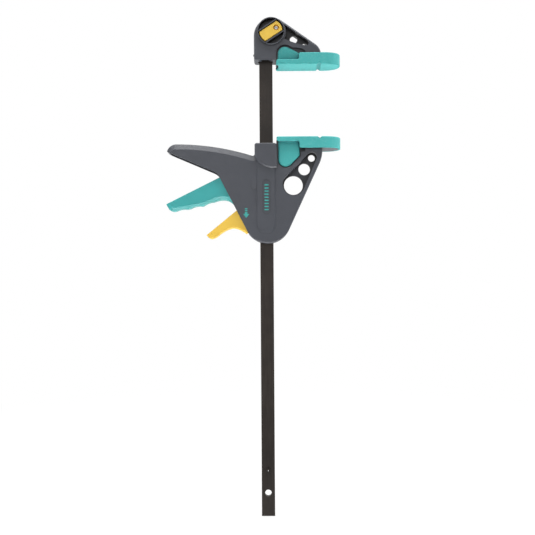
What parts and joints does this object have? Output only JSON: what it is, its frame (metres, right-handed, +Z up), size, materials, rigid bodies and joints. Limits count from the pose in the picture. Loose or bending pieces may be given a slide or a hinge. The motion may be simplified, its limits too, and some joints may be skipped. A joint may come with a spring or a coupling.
{
  "type": "one-handed trigger bar clamp",
  "caption": "One-handed bar clamp: flat steel bar, quarter-turn locked top jaw, and a sliding head with drive trigger, release lever and padded jaws.",
  "frame": {"origin": "centre of the hang hole near the bar's lower end, at the bar's mid-thickness", "axes": "+Z up along the bar towards the fixed jaw, +X along the jaws away from the bar, -Y towards the front face"},
  "size_m": [0.263, 0.04, 0.7499],
  "materials": {
    "blackened_steel": "black oxide, satin",
    "bright_steel": "zinc plated",
    "spring_steel": "drawn wire",
    "housing_plastic": "fine spark-eroded texture",
    "pad_rubber": "soft matt",
    "teal_plastic": "satin",
    "yellow_plastic": "satin",
    "print_teal": "pad printed"
  },
  "bodies": {
    "frame": {"bar": "blackened_steel", "bar_stop_pin": "blackened_steel", "fixed_jaw_body": "housing_plastic", "fixed_jaw_pad": "pad_rubber"},
    "lock_knob": {"lock_dial": "housing_plastic", "lock_key": "yellow_plastic", "lock_key_screw": "bright_steel", "lock_shaft": "bright_steel", "lock_retaining_ring": "blackened_steel"},
    "head": {"head_housing_front": "housing_plastic", "head_housing_back": "housing_plastic", "head_screws": "bright_steel", "moving_jaw_pad": "pad_rubber", "label_inlay": "print_teal", "arrow_print": "print_teal", "trigger_pivot_pin": "bright_steel", "release_pivot_pin": "bright_steel", "drive_return_spring": "spring_steel", "brake_spring": "spring_steel"},
    "trigger": {"drive_trigger": "teal_plastic"},
    "drive": {"drive_plate": "bright_steel"},
    "brake": {"release_lever": "yellow_plastic", "brake_plate": "bright_steel"}
  },
  "joints": [
    {"name": "head_slide", "type": "slide", "parent": "frame", "child": "head", "axis": [0, 0, 1], "range_m": [-0.339, 0.107]},
    {"name": "trigger_squeeze", "type": "hinge", "parent": "head", "child": "trigger", "pos_m": [-0.026, 0, 0.47], "axis": [0, 1, 0], "range_deg": [0, 28], "stiffness_Nm_per_rad": 1.5, "springref_deg": -5.73},
    {"name": "drive_step", "type": "slide", "parent": "head", "child": "drive", "axis": [0, 0, -1], "range_m": [0, 0.0056], "deforming": ["drive_return_spring"]},
    {"name": "brake_release", "type": "hinge", "parent": "head", "child": "brake", "pos_m": [-0.026, 0, 0.404], "axis": [0, 1, 0], "range_deg": [0, 10], "stiffness_Nm_per_rad": 2, "springref_deg": -5.73, "deforming": ["brake_spring"]},
    {"name": "lock_turn", "type": "hinge", "parent": "frame", "child": "lock_knob", "pos_m": [0.008, 0, 0.6939], "axis": [0, 1, 0], "range_deg": [0, 90]}
  ],
  "couplings": [
    {"joint": "drive_step", "follows": "trigger_squeeze", "m_per_rad": 0.010886}
  ]
}
